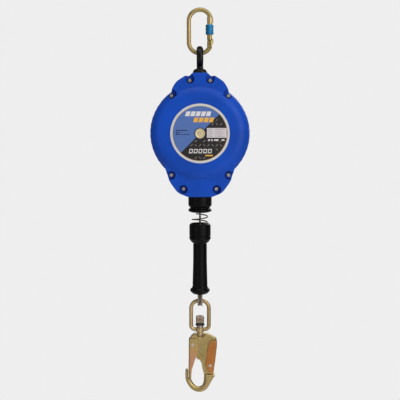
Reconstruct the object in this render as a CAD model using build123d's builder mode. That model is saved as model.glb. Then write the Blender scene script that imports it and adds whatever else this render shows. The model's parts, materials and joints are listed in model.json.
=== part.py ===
from build123d import *
from math import acos, cos, degrees, radians, sin, tan
import os

# Self retracting lifeline: a cable fall arrester block that hangs from an oval carabiner.
# Frame: +Z up, +X to the right and -Y out of the front cover, in millimetres.
# Origin: the point inside the carabiner's top bend that bears on the anchor.

os.makedirs("parts", exist_ok=True)

# ---------------------------------------------------------------- driving dimensions

# carabiner
bar_r = 5.0                     # rod of the carabiner
oval_r = 25.0                   # bend of the rod's centre line
oval_top_z = bar_r - oval_r     # centre of the upper bend
oval_low_z = -67.0              # centre of the lower bend
bar_low_z = oval_low_z - oval_r  # centre line of the bottom bar
gate_x = 21.6                   # line of the gate
gate_r = 5.6
gate_pivot_z = -71.0
gate_pin_r = 2.0
nose_z = -9.8                   # end of the rod above the gate
sleeve_top_z = -28.2
sleeve_length = 22.6
sleeve_r = 9.2

# swivel eye and its stem
eye_hole_r = 13.0
eye_half_thick = 7.6            # along X
eye_half_width = 5.5            # of the ring's section, in its own plane
eye_z = bar_low_z + bar_r + 0.3 - eye_hole_r
stem_r = 7.0
collar_top_z = -126.6
collar_low_z = -136.9
collar_r = 16.4

# housing
hub_z = -272.3                  # the drum's axis
rim_r = 113.0
dome_half = 43.0                # half thickness at the middle
dome_flat_r = 83.0
dome_edge_r = 30.0
lobe_half = 35.0                # half thickness of the top and bottom lobes
low_lobe_z = -143.6             # bottom of the lower lobe, from the hub
wall = 3.0
# half outlines of the lobes, from the hub, each point with the radius of its corner
top_lobe = [(66.0, 70.0, 8), (65.0, 97.0, 40), (53.0, 116.0, 30), (33.5, 128.6, 5), (24.5, 128.0, 6),
            (16.5, 135.2, 3)]
low_lobe = [(84.0, -60.0, 8), (69.5, -108.0, 60), (50.0, -134.5, 30), (27.0, low_lobe_z, 12)]
lobe_edge_r = 2.8
flute_r = 40.0                  # grip flutes round the rim
flute_depth = 0.8
flute_pitch = 7.2               # degrees
flutes = 11                     # on each side
screws = [(22.8, 117.6), (63.8, 83.8), (64.5, -94.0), (37.2, -125.4)]
recesses = [(22.6, 121.4), (61.8, 87.0), (65.0, -94.2), (37.8, -126.2)]
seat_half = 23.0                # the screw seats' distance from the joint plane
recess_r = 10.2
recess_from_r = 99.2            # the recesses leave the dome alone inside this radius
screw_r = 2.6
screw_head_r = 4.2
seam = 0.6                      # groove between the two covers
label_r = 66.5
label_depth = 1.0
hub_cap_r = 11.3

# drum and cable
cable_r = 2.4
barrel_r = 47.0
flange_r = 79.0
drum_half = 10.0                # half of the space between the flanges
flange_t = 2.0
winding_r = 69.6
outer_turn_r = 72.2             # centre line of the outermost turn
bend_z = -428.0                 # where the cable turns down into the outlet
shaft_r = 7.0
shaft_half = 37.0
plate_half = 28.0               # inner faces of the frame plates
plate_t = 2.5

# ratchet brake
tooth_count = 12
tooth_tip_r = 37.5
tooth_root_r = 42.5
ring_r = 60.0
pawl_pivot = (0.0, 24.0)
pawl_pin_r = 3.0
brake_r = 70.0
brake_bolt_r = 66.0

# outlet, spring and handle
outlet_top_z = -408.8
housing_low_z = hub_z + low_lobe_z
outlet_r = 26.8
handle_top_z = -478.8
handle_low_z = -643.8
handle_r = 24.6                 # collar of the handle
spring_mean_r = 17.8
spring_wire_r = 1.25
spring_pitch = 14.0

# loop, link and hook
link_r = 4.5
link_half = 20.65
link_top_z = -660.8             # centre line of the link's upper bar
loop_z = link_top_z - link_r - 0.6 + 9.0
loop_cable_r = 13.0
stud_r = 5.0
hook_top_z = -737.4
hook_half = 8.0
hook_web_half = 5.4             # of the thinner web next to the throat
sheet = 1.6                     # thickness of the gate's and the lever's sheet
cheek_in = hook_half + 0.4
hook_pivot = (-17.4, -762.9)
lever_pivot = (23.7, -812.4)
hook_pin_r = 2.4

# ---------------------------------------------------------------- helpers

DRUM_AXIS = Axis((0, 0, hub_z), (0, 1, 0))
VERTICAL = Axis.Z


def finish(builder, name):
    """Label a finished piece and write it."""
    builder.part.label = name
    export_step(builder.part, f"parts/{name}.step")


def front(y, z=0.0):
    """A plane that faces the front, with its origin at height z."""
    return Plane(origin=(0, y, z), x_dir=(1, 0, 0), z_dir=(0, -1, 0))


def level(z, x=0.0, y=0.0):
    """A level plane at height z."""
    return Plane(origin=(x, y, z))


def drum_ring(inner_r, outer_r, y_low, y_high):
    """A flat ring about the drum's axis."""
    with BuildPart() as ring:
        with BuildSketch(front(y_high, hub_z)):
            Circle(outer_r)
            Circle(inner_r, mode=Mode.SUBTRACT)
        extrude(amount=y_high - y_low)
    return ring


def turned(points, axis=VERTICAL, plane=Plane.XZ):
    """A turned piece from its half section."""
    with BuildPart() as piece:
        with BuildSketch(plane):
            with BuildLine():
                Polyline(*points, close=True)
            make_face()
        revolve(axis=axis)
    return piece


def mirrored(points):
    """Close a half outline by its mirror image in x = 0."""
    return points + [(-x, z) for x, z in reversed(points)]


def coil(radius, wire_r, pitch, height, start):
    """A coil spring that rises along Z from the point start."""
    with BuildPart() as piece:
        with BuildLine() as path:
            Helix(pitch=pitch, height=height, radius=radius, center=start)
        with BuildSketch(path.line ^ 0):
            Circle(wire_r)
        sweep(is_frenet=True)
    return piece


# ---------------------------------------------------------------- carabiner


def make_carabiner_body():
    claw_x = gate_x + 4.2           # inner face of the nose's claw, outside the gate
    claw_low_z = -25.5
    with BuildPart() as body:
        with BuildLine() as path:
            Line((oval_r + 0.6, claw_low_z), (oval_r, oval_top_z))
            nose = CenterArc((0, oval_top_z), oval_r, 0, 180)
            Line(nose @ 1, (-oval_r, oval_low_z))
            CenterArc((0, oval_low_z), oval_r, 180, 158)
        wire = Plane.XZ * path.line
        with BuildSketch(Plane(origin=wire @ 0, z_dir=wire % 0)):
            Circle(bar_r)
        sweep(path=wire)
        # room for the gate's tip, inside the claw
        with BuildSketch(front(2 * bar_r)):
            with BuildLine():
                Polyline((10, claw_low_z - 8), (claw_x, claw_low_z - 8), (claw_x, nose_z), (10, nose_z),
                         close=True)
            make_face()
        extrude(amount=4 * bar_r, mode=Mode.SUBTRACT)
        add(make_hinge_lug().part)
        with BuildSketch(front(2.7)):
            with Locations((gate_x, gate_pivot_z + 6)):
                Rectangle(24, 24)
        extrude(amount=5.4, mode=Mode.SUBTRACT)
        with BuildSketch(front(10)):
            with Locations((gate_x, gate_pivot_z)):
                Circle(gate_pin_r)
        extrude(amount=20, mode=Mode.SUBTRACT)
    return body


def make_hinge_lug():
    """The rod's swelled end, with a wing outside the gate."""
    with BuildPart() as lug:
        with BuildSketch(front(bar_r + 2)):
            with BuildLine():
                Polyline((15.0, -70.5), (15.8, -67.0), (18.5, -64.6), (26.4, -64.0), (27.9, -60.6),
                         (28.8, -59.2), (29.9, -62.0), (30.2, -66.5), (29.0, -72.0), (26.5, -77.0),
                         (23.0, -81.0), (17.0, -79.0), (15.4, -74.5), close=True)
            make_face()
        extrude(amount=2 * bar_r + 4)
        with BuildSketch(level(oval_low_z - 20, gate_x + 1.6)):
            Ellipse(8.0, bar_r + 0.7)
        extrude(amount=40, mode=Mode.INTERSECT)
    return lug


def make_carabiner_gate():
    shoulder_z = gate_pivot_z + 9
    with BuildPart() as gate:
        with BuildSketch(level(shoulder_z, gate_x)):
            Circle(gate_r)
        extrude(amount=nose_z - 0.6 - shoulder_z)
        with BuildSketch(front(2.4)):
            with Locations((gate_x, gate_pivot_z)):
                Circle(4.9)
            with Locations((gate_x, (gate_pivot_z + shoulder_z) / 2 + 1)):
                Rectangle(9.8, shoulder_z - gate_pivot_z + 2)
        extrude(amount=4.8)
        # the outer side of the tip is flat, next to the claw
        with BuildSketch(front(10)):
            with BuildLine():
                Polyline((gate_x + 3.8, -26.0), (gate_x + 8, -26.0), (gate_x + 8, 0), (gate_x + 3.8, 0),
                         close=True)
            make_face()
        extrude(amount=20, mode=Mode.SUBTRACT)
        with BuildSketch(front(10)):
            with Locations((gate_x, gate_pivot_z)):
                Circle(gate_pin_r + 0.05)
        extrude(amount=20, mode=Mode.SUBTRACT)
    return gate


def make_carabiner_sleeve():
    """Three low rings with grooves between them."""
    bore = gate_r + 0.06
    low = sleeve_top_z - sleeve_length
    groove = 0.6
    ring = sleeve_length / 3
    points = [(gate_x + bore, low + 0.8), (gate_x + bore + 0.8, low)]
    for k in range(3):
        base = low + k * ring
        points += [(gate_x + sleeve_r - groove, base + (0 if k == 0 else 0.4)),
                   (gate_x + sleeve_r, base + 1.6), (gate_x + sleeve_r, base + ring - 1.6),
                   (gate_x + sleeve_r - groove, base + ring - (0 if k == 2 else 0.4))]
    points += [(gate_x + bore + 0.8, sleeve_top_z), (gate_x + bore, sleeve_top_z - 0.8)]
    return turned(points, Axis((gate_x, 0, 0), (0, 0, 1)))


def make_carabiner():
    finish(make_carabiner_body(), "carabiner_body")
    finish(make_carabiner_gate(), "carabiner_gate")
    finish(make_carabiner_sleeve(), "carabiner_sleeve")
    with BuildPart() as pin:
        with BuildSketch(front(bar_r)):
            with Locations((gate_x, gate_pivot_z)):
                Circle(gate_pin_r)
        extrude(amount=2 * bar_r)
    finish(pin, "carabiner_gate_pin")


# ---------------------------------------------------------------- swivel

head_low_z = hub_z + 94.0
stem_low_z = hub_z + 82.0


def make_swivel():
    neck_z = eye_z - eye_hole_r - eye_half_width
    stem = [(0, neck_z), (eye_half_thick, neck_z), (eye_half_thick, collar_top_z - 0.4),
            (stem_r, collar_top_z - 0.4), (stem_r, stem_low_z + 1), (stem_r - 1, stem_low_z), (0, stem_low_z)]
    with BuildPart() as eye:
        with BuildSketch(Plane.XZ):
            with Locations((0, eye_z + eye_hole_r + eye_half_width)):
                Ellipse(eye_half_thick, eye_half_width)
        revolve(axis=Axis((0, 0, eye_z), (1, 0, 0)))
        add(turned(stem).part)
    finish(eye, "swivel_eye")

    with BuildPart() as collar:
        with BuildSketch(Plane.XZ):
            with BuildLine():
                Polyline((stem_r, collar_top_z - 0.4), (stem_r, collar_low_z), (collar_r, collar_low_z),
                         (collar_r, collar_low_z + 1.8))
                ThreePointArc((collar_r, collar_low_z + 1.8), (collar_r - 2.7, collar_top_z - 2.6),
                              (eye_half_thick + 0.4, collar_top_z))
                Polyline((eye_half_thick + 0.4, collar_top_z), (eye_half_thick + 0.1, collar_top_z - 0.4),
                         (stem_r, collar_top_z - 0.4))
            make_face()
        revolve(axis=VERTICAL)
    finish(collar, "swivel_collar")

    finish(turned([(stem_r, head_low_z - 0.2), (13.0, head_low_z - 0.2), (13.0, head_low_z - 1.8),
                   (stem_r, head_low_z - 1.8)]), "swivel_thrust_washer")

    with BuildPart() as nut:
        with BuildSketch(level(stem_low_z + 0.5)):
            RegularPolygon(9.5, 6, major_radius=False)
            Circle(stem_r, mode=Mode.SUBTRACT)
        extrude(amount=head_low_z - 1.8 - stem_low_z - 0.5)
    finish(nut, "swivel_nut")


# ---------------------------------------------------------------- housing


def dome(radius, half, edge_r, flat_r):
    """The round body of the housing: flat faces with a large edge radius."""
    with BuildPart() as body:
        with BuildSketch(Plane(origin=(0, 0, hub_z), x_dir=(0, 1, 0), z_dir=(1, 0, 0))):
            with BuildLine():
                corner = half - edge_r
                Line((-half, 0), (-half, flat_r))
                CenterArc((-corner, flat_r), edge_r, 90, 90)
                Line((-corner, radius), (corner, radius))
                CenterArc((corner, flat_r), edge_r, 0, 90)
                Line((half, flat_r), (half, 0))
                Line((half, 0), (-half, 0))
            make_face()
        revolve(axis=DRUM_AXIS)
    return body


def lobe_face(half_outline):
    """The face inside a lobe's outline, from its points and corner radii on the right."""
    points = mirrored([(x, z) for x, z, r in half_outline])
    radii = [r for x, z, r in half_outline]
    with BuildSketch() as face:
        with BuildLine():
            FilletPolyline(*points, radius=radii + radii[::-1], close=True)
        make_face()
    return face.sketch


def lobes(inset, half, edge_r):
    """The top and bottom lobes, which carry the screws."""
    with BuildPart() as body:
        with BuildSketch(front(half, hub_z)) as outline:
            for half_outline in (top_lobe, low_lobe):
                add(lobe_face(half_outline))
            if inset > 0:
                offset(amount=-inset)
        extrude(amount=2 * half)
        if edge_r > 0:
            rims = body.edges().group_by(Axis.Y)
            fillet(rims[0] + rims[-1], edge_r)
    return body


def both_sides(points):
    return [(side * x, z) for x, z in points for side in (1, -1)]


outer_dome = dome(rim_r, dome_half, dome_edge_r, dome_flat_r)
outer_lobes = lobes(0, lobe_half, lobe_edge_r)
inner_dome = dome(rim_r - wall, dome_half - wall, dome_edge_r - wall, dome_flat_r)
inner_lobes = lobes(wall, lobe_half - wall, 0)

with BuildPart() as pillars:
    with BuildSketch(front(dome_half, hub_z)):
        with Locations(*both_sides(recesses)):
            Circle(recess_r + 2.5)
        with Locations((0, 124)):
            Rectangle(22, 32)
    extrude(amount=2 * dome_half)

with BuildPart() as cavity:
    add(inner_dome.part)
    add(inner_lobes.part)
    add(pillars.part, mode=Mode.SUBTRACT)


def rim_profile(grow):
    """The housing's outline in the joint plane, grown by an amount."""
    with BuildSketch() as profile:
        Circle(rim_r - flute_depth / 2)
        for half_outline in (top_lobe, low_lobe):
            add(lobe_face(half_outline))
        offset(amount=grow)
    return profile.sketch


def make_cover(side):
    """One half shell: side is -1 for the front and +1 for the rear."""
    with BuildPart() as cover:
        add(outer_dome.part)
        with BuildSketch(front(dome_half, hub_z)):
            for middle in (0, 180):
                reach = flute_pitch * (flutes - 1)
                with PolarLocations(rim_r + flute_r - flute_depth, flutes, middle - reach / 2, reach,
                                    endpoint=True):
                    Circle(flute_r)
        extrude(amount=2 * dome_half, mode=Mode.SUBTRACT)
        add(outer_lobes.part)
        # screw recesses outside the dome
        with BuildSketch(front(side * seat_half, hub_z)):
            with Locations(*both_sides(recesses)):
                Circle(recess_r)
            Circle(recess_from_r, mode=Mode.SUBTRACT)
        extrude(amount=-side * dome_half, mode=Mode.SUBTRACT)
        # groove along the joint of the two covers
        with BuildSketch(front(seam / 2, hub_z)):
            add(rim_profile(5.0))
            add(rim_profile(-seam), mode=Mode.SUBTRACT)
        extrude(amount=seam, mode=Mode.SUBTRACT)
        add(cavity.part, mode=Mode.SUBTRACT)
        with BuildSketch(front(50, hub_z)):
            with Locations(*both_sides(screws)):
                Circle(screw_r + 0.1)
        extrude(amount=100, mode=Mode.SUBTRACT)
        # opening for the eye's stem, and the outlet's opening
        with BuildSketch(level(hub_z + 100)):
            Circle(stem_r + 1)
        extrude(amount=50, mode=Mode.SUBTRACT)
        with BuildSketch(level(housing_low_z - 2)):
            Circle(19.8)
        extrude(amount=8, mode=Mode.SUBTRACT)
        # recess of the label
        with BuildSketch(front(side * dome_half, hub_z)):
            Circle(label_r + 0.3)
        extrude(amount=side * label_depth, mode=Mode.SUBTRACT)
        if side < 0:
            with BuildSketch(front(wall - dome_half - 0.5, hub_z)):
                Circle(hub_cap_r + 4)
            extrude(amount=-3)
            with BuildSketch(front(-dome_half, hub_z)):
                Circle(hub_cap_r + 1.5)
            extrude(amount=-3.5, mode=Mode.SUBTRACT)
        split(bisect_by=Plane.XZ, keep=Keep.TOP if side < 0 else Keep.BOTTOM)
    return cover


def make_labels():
    with BuildPart() as front_label:
        with BuildSketch(front(label_depth - dome_half, hub_z)):
            Circle(label_r)
            Circle(hub_cap_r + 1.5, mode=Mode.SUBTRACT)
        extrude(amount=0.7)
    finish(front_label, "front_label")
    with BuildPart() as rear_label:
        with BuildSketch(front(dome_half - label_depth + 0.7, hub_z)):
            Circle(label_r)
        extrude(amount=0.7)
    finish(rear_label, "rear_label")
    cap_y = -dome_half + 3.5
    with BuildPart() as cap:
        with BuildSketch(front(cap_y, hub_z)):
            Circle(hub_cap_r)
        extrude(amount=2.9)
        chamfer(cap.edges().group_by(Axis.Y)[0], 0.6)
    finish(cap, "front_hub_cap")


def make_fasteners():
    with BuildPart() as bolts:
        with BuildSketch(front(seat_half - 2, hub_z)):
            with Locations(*both_sides(screws)):
                Circle(screw_r)
        extrude(amount=2 * seat_half - 2)
        with BuildSketch(front(-seat_half, hub_z)):
            with Locations(*both_sides(screws)):
                Circle(screw_head_r)
        extrude(amount=4.6)
        chamfer(bolts.edges().group_by(Axis.Y)[0], 0.6)
        with BuildSketch(front(-seat_half - 4.6, hub_z)):
            with Locations(*both_sides(screws)):
                RegularPolygon(2.0, 6, major_radius=False)
        extrude(amount=-2.4, mode=Mode.SUBTRACT)
    finish(bolts, "housing_screws")
    with BuildPart() as nuts:
        with BuildSketch(front(seat_half + 4, hub_z)):
            with Locations(*both_sides(screws)):
                RegularPolygon(4.4, 6, major_radius=False)
        extrude(amount=4)
    finish(nuts, "housing_nuts")


def make_housing():
    finish(make_cover(-1), "front_cover")
    finish(make_cover(1), "rear_cover")
    make_labels()
    make_fasteners()


# ---------------------------------------------------------------- frame inside the housing

plate_outline = mirrored([(20.0, 106.5), (30.0, 60.0), (34.0, 0.0), (28.0, -90.0), (20.0, -114.0)])
spacer_points = [(12.0, -104.0), (-12.0, -104.0)]
head_rivet_points = [(14.0, 100.2), (-14.0, 100.2)]


def make_frame():
    for name, y in (("frame_plate_front", -plate_half), ("frame_plate_rear", plate_half + plate_t)):
        with BuildPart() as plate:
            with BuildSketch(front(y, hub_z)):
                with BuildLine():
                    FilletPolyline(*plate_outline, radius=6.0, close=True)
                make_face()
                Circle(shaft_r, mode=Mode.SUBTRACT)
                with Locations(*spacer_points):
                    Circle(3.0, mode=Mode.SUBTRACT)
                with Locations(*head_rivet_points):
                    Circle(3.0, mode=Mode.SUBTRACT)
            extrude(amount=plate_t)
        finish(plate, name)

    with BuildPart() as head:
        with BuildSketch(front(plate_half, hub_z)):
            with Locations((0, (106.5 + 94.0) / 2)):
                RectangleRounded(39, 12.5, 2)
        extrude(amount=2 * plate_half)
        for y in (plate_half, 8 - plate_half):
            with BuildSketch(front(y, hub_z)):
                with Locations(*head_rivet_points):
                    Circle(3.0)
            extrude(amount=8, mode=Mode.SUBTRACT)
        with BuildSketch(level(head_low_z - 1)):
            Circle(stem_r + 0.06)
        extrude(amount=20, mode=Mode.SUBTRACT)
    finish(head, "frame_head")

    with BuildPart() as spacers:
        with BuildSketch(front(plate_half, hub_z)):
            with Locations(*spacer_points):
                Circle(6.0)
                Circle(3.0, mode=Mode.SUBTRACT)
        extrude(amount=2 * plate_half)
    finish(spacers, "frame_spacers")

    rivet_half = plate_half + plate_t
    head_t = 1.2
    with BuildPart() as rivets:
        with BuildSketch(front(rivet_half, hub_z)):
            with Locations(*spacer_points):
                Circle(3.0)
        extrude(amount=2 * rivet_half)
        for y in (rivet_half, 8 - plate_half):
            with BuildSketch(front(y, hub_z)):
                with Locations(*head_rivet_points):
                    Circle(3.0)
            extrude(amount=8 + plate_t)
        for y in (rivet_half + head_t, -rivet_half):
            with BuildSketch(front(y, hub_z)):
                with Locations(*spacer_points, *head_rivet_points):
                    Circle(5.0)
            extrude(amount=head_t)
    finish(rivets, "frame_rivets")

    finish(make_shaft(), "drum_shaft")
    nut_y = plate_half + plate_t + 0.2
    with BuildPart() as nuts:
        for y in (nut_y + 5.5, -nut_y):
            with BuildSketch(front(y, hub_z)):
                RegularPolygon(10.5, 6, major_radius=False)
                Circle(shaft_r, mode=Mode.SUBTRACT)
            extrude(amount=5.5)
    finish(nuts, "shaft_nuts")


def make_shaft():
    with BuildPart() as shaft:
        with BuildSketch(front(shaft_half, hub_z)):
            Circle(shaft_r)
        extrude(amount=2 * shaft_half)
        chamfer(shaft.edges().group_by(Axis.Y)[0] + shaft.edges().group_by(Axis.Y)[-1], 0.8)
    return shaft


# ---------------------------------------------------------------- drum, cable and recoil spring

spring_in = 13.8                # the recoil spring's face next to the drum
spring_width = 12.0
case_r = 74.0


def make_drum():
    half = drum_half
    edge = half + flange_t
    with BuildPart() as drum:
        with BuildSketch(Plane(origin=(0, 0, hub_z), x_dir=(0, 1, 0), z_dir=(1, 0, 0))):
            with BuildLine():
                Polyline((-14, 9), (12.6, 9), (12.6, 14), (-half, 14), (-half, barrel_r - 4),
                         (edge, barrel_r - 4), (edge, flange_r), (half, flange_r), (half, barrel_r),
                         (-half, barrel_r), (-half, flange_r), (-edge, flange_r), (-edge, 14), (-14, 14),
                         close=True)
            make_face()
        revolve(axis=DRUM_AXIS)
        with BuildSketch(front(-half + 1, hub_z)):
            with PolarLocations(34, 6, start_angle=30):
                Circle(5)
        extrude(amount=flange_t + 2, mode=Mode.SUBTRACT)
    finish(drum, "cable_drum")
    finish(drum_ring(shaft_r + 0.05, 9, -14, -1), "drum_bush_front")
    finish(drum_ring(shaft_r + 0.05, 9, 0, 12.6), "drum_bush_rear")
    finish(drum_ring(barrel_r + 0.2, winding_r, 0.2 - half, half - 0.2), "cable_winding")


def make_spring_case():
    floor = drum_half + flange_t + 0.1
    rim = spring_in + spring_width + 0.4
    with BuildPart() as case:
        with BuildSketch(front(rim, hub_z)):
            Circle(case_r)
            Circle(case_r - 1.2, mode=Mode.SUBTRACT)
        extrude(amount=rim - floor)
        with BuildSketch(front(floor + 1, hub_z)):
            Circle(case_r)
            Circle(15, mode=Mode.SUBTRACT)
        extrude(amount=1)
    finish(case, "spring_case")
    finish(drum_ring(15, case_r, rim, rim + 1), "spring_cover")
    finish(drum_ring(shaft_r, 11.5, 13, 27.2), "spring_arbor")


def make_recoil_spring():
    """A flat spiral of half circles, whose centre alternates between two points."""
    first_r = 14.5
    pitch = 2.7
    half_turns = 38
    thick = 1.0
    with BuildPart() as spring:
        with BuildSketch(front(spring_in + spring_width, hub_z)):
            with BuildLine():
                ends = []
                for shift in (0.0, thick):
                    r = first_r + shift
                    centre = 0.0
                    first = (r, 0)
                    for k in range(half_turns):
                        CenterArc((centre, 0), r, 180 * (k % 2), 180)
                        step = pitch / 2 * (1 if k % 2 == 0 else -1)
                        centre += step if k < half_turns - 1 else 0
                        r += pitch / 2 if k < half_turns - 1 else 0
                    sign = 1 if half_turns % 2 == 0 else -1
                    ends.append((first, (centre + sign * r, 0)))
                Line(ends[0][0], ends[1][0])
                Line(ends[0][1], ends[1][1])
            make_face()
        extrude(amount=spring_width)
    finish(spring, "recoil_spring")


def make_cable_run():
    """The outermost turn's end, the straight run to the outlet, and down through the handle."""
    reach = hub_z - bend_z
    lean = acos(outer_turn_r / reach)
    touch = (outer_turn_r * sin(lean), -outer_turn_r * cos(lean))
    with BuildPart() as run:
        with BuildLine() as path:
            CenterArc((0, 0), outer_turn_r, degrees(lean) - 90 + 150, -150)
            FilletPolyline(touch, (0, -reach), (0, ferrule_top_z - hub_z), radius=60)
        wire = front(0, hub_z) * path.line
        with BuildSketch(Plane(origin=wire @ 0, z_dir=wire % 0)):
            Circle(cable_r)
        sweep(path=wire)
    finish(run, "cable_run")


# ---------------------------------------------------------------- ratchet brake


def make_brake():
    back_y = -plate_half
    lining_t = 1.5
    ring_t = 4.5
    y = back_y + 1.5
    with BuildPart() as back:
        with BuildSketch(front(y, hub_z)):
            Circle(brake_r)
            Circle(shaft_r, mode=Mode.SUBTRACT)
            with PolarLocations(brake_bolt_r, 6):
                Circle(1.6, mode=Mode.SUBTRACT)
        extrude(amount=1.5)
    finish(back, "brake_backplate")
    finish(drum_ring(44, ring_r, y, y + lining_t), "brake_lining_outer")
    y += lining_t
    with BuildPart() as ring:
        with BuildSketch(front(y + ring_t, hub_z)):
            Circle(ring_r)
            with BuildLine():
                Polyline(*ratchet_profile(), close=True)
            make_face(mode=Mode.SUBTRACT)
        extrude(amount=ring_t)
    finish(ring, "ratchet_ring")
    y += ring_t
    finish(drum_ring(44, ring_r, y, y + lining_t), "brake_lining_inner")
    y += lining_t
    with BuildPart() as plate:
        with BuildSketch(front(y + 2, hub_z)):
            Circle(brake_r)
            Circle(44, mode=Mode.SUBTRACT)
            with PolarLocations(brake_bolt_r, 6):
                Circle(1.6, mode=Mode.SUBTRACT)
        extrude(amount=2)
    finish(plate, "brake_plate")
    y += 2
    with BuildPart() as bolts:
        with BuildSketch(front(y + 2.6, hub_z)):
            with PolarLocations(brake_bolt_r, 6):
                Circle(1.6)
        extrude(amount=y + 2.6 - back_y)
        with BuildSketch(front(y + 2.4, hub_z)):
            with PolarLocations(brake_bolt_r, 6):
                Circle(3.2)
        extrude(amount=2.4)
    finish(bolts, "brake_bolts")


def ratchet_profile():
    """Saw teeth: each rises in a slope and ends in a radial face that stops a pawl."""
    pitch = 360 / tooth_count
    face_angle = 47.0
    points = []
    for tooth in range(tooth_count):
        angle = radians(face_angle + tooth * pitch)
        points.append((tooth_tip_r * cos(angle), tooth_tip_r * sin(angle)))
        points.append((tooth_root_r * cos(angle), tooth_root_r * sin(angle)))
    return points


def make_pawls():
    px, pz = pawl_pivot
    y_top = -20.9
    y_low = -24.6
    for name, side in (("pawl_a", 1), ("pawl_b", -1)):
        with BuildPart() as pawl:
            with BuildSketch(Plane(origin=(0, y_top, hub_z), x_dir=(side, 0, 0), z_dir=(0, -1, 0))):
                with BuildLine():
                    Polyline((px - 9, pz - 3), (px - 4, pz + 5.2), (px + 8, pz + 4.4), (px + 24.8, pz + 0.6),
                             (px + 23.2, pz - 5.6), (px + 8, pz - 6), close=True)
                make_face()
                with Locations((px, pz)):
                    Circle(6)
                    Circle(pawl_pin_r + 0.06, mode=Mode.SUBTRACT)
            extrude(amount=y_top - y_low)
        finish(pawl, name)
    with BuildPart() as pins:
        with BuildSketch(front(-drum_half - flange_t, hub_z)):
            with Locations((px, pz), (-px, -pz)):
                Circle(pawl_pin_r)
        extrude(amount=13.2)
    finish(pins, "pawl_pins")
    with BuildPart() as coils:
        for side in (1, -1):
            with BuildSketch(front(-13.6, hub_z)):
                with Locations((side * px, side * pz)):
                    Circle(5.0)
                    Circle(pawl_pin_r + 0.4, mode=Mode.SUBTRACT)
            extrude(amount=6.2)
    finish(coils, "pawl_springs")


# ---------------------------------------------------------------- outlet, spring and handle


def make_outlet():
    """Bushing with a collar inside the housing and a rounded flange below a groove."""
    top = outlet_top_z
    low = housing_low_z
    r = outlet_r
    with BuildPart() as outlet:
        with BuildSketch(Plane.XZ):
            with BuildLine():
                Polyline((17.0, top), (24.0, top), (24.0, low + 3.7), (19.6, low + 3.7), (19.6, low - 0.1),
                         (r, low - 0.1), (r, low - 21.4), (r - 4.0, low - 26.2), (r - 4.0, low - 28.0),
                         (r - 1.0, low - 30.4))
                ThreePointArc((r - 1.0, low - 30.4), (r, low - 33.0), (r - 1.8, low - 35.8))
                ThreePointArc((r - 1.8, low - 35.8), (r - 8, low - 37.6), (12.0, low - 38.2))
                Polyline((12.0, low - 38.2), (6.6, low - 38.2), (5.4, low - 37.0), (5.4, low - 17.0),
                         (9.0, low - 6.0), (17.0, top))
            make_face()
        revolve(axis=VERTICAL)
    finish(outlet, "cable_outlet")


def make_buffer_spring():
    height = 3 * spring_pitch
    finish(coil(spring_mean_r, spring_wire_r, spring_pitch, height, (0, 0, handle_top_z - 30.5)),
           "buffer_spring")


ferrule_top_z = -600.0
ferrule_low_z = -624.0


def make_handle():
    top = handle_top_z
    low = handle_low_z
    r = handle_r
    pocket_z = top - 34
    with BuildPart() as grip:
        with BuildSketch(Plane.XZ):
            with BuildLine():
                Polyline((19.8, pocket_z), (19.8, top - 1.2), (20.0, top - 0.4))
                ThreePointArc((20.0, top - 0.4), (23.2, top - 2.4), (r, top - 7.5))
                Polyline((r, top - 7.5), (r, top - 28.0), (r - 0.9, top - 29.0), (r, top - 30.0),
                         (r, top - 36.4), (19.4, top - 44.0))
                ThreePointArc((19.4, top - 44.0), (16.4, top - 46.0), (15.8, top - 50.0))
                Polyline((15.8, top - 50.0), (15.9, top - 90.0), (17.3, low + 22.0))
                ThreePointArc((17.3, low + 22.0), (18.4, low + 15.0), (21.4, low + 11.6))
                ThreePointArc((21.4, low + 11.6), (22.8, low + 8.6), (21.0, low + 5.0))
                ThreePointArc((21.0, low + 5.0), (18.6, low + 2.2), (15.6, low + 0.5))
                Polyline((15.6, low + 0.5), (14.8, low), (9.0, -612), (9.0, -585), (2.9, -585),
                         (2.9, pocket_z), (19.8, pocket_z))
            make_face()
        revolve(axis=VERTICAL)
    finish(grip, "handle_grip")
    finish(turned([(2.9, pocket_z), (19.4, pocket_z), (19.4, pocket_z + 2.2), (2.9, pocket_z + 2.2)]),
           "spring_seat")
    stop_z = pocket_z + 2.2
    finish(turned([(cable_r, stop_z), (7.0, stop_z), (7.6, stop_z + 3), (7.0, stop_z + 12),
                   (5.0, stop_z + 14), (cable_r, stop_z + 14)]), "cable_stop")


# ---------------------------------------------------------------- cable loop and thimble

taper_angle = 18.0


def drop_path(radius, top_z):
    """The open line of a drop: two tangents of a round bottom, which end at height top_z."""
    apex = radius / sin(radians(taper_angle))
    tx = radius * cos(radians(taper_angle))
    tz = radius * sin(radians(taper_angle))
    cut = top_z - loop_z
    half = (apex - cut) * tan(radians(taper_angle))
    with BuildLine() as path:
        Line((-half, cut), (-tx, tz))
        ThreePointArc((-tx, tz), (0, -radius), (tx, tz))
        Line((tx, tz), (half, cut))
    return path.line


def drop(radius, top_z):
    """The face inside a drop's line."""
    with BuildSketch() as face:
        with BuildLine():
            outline = drop_path(radius, top_z)
            add(outline)
            Line(outline @ 0, outline @ 1)
        make_face()
    return face.sketch


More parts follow.
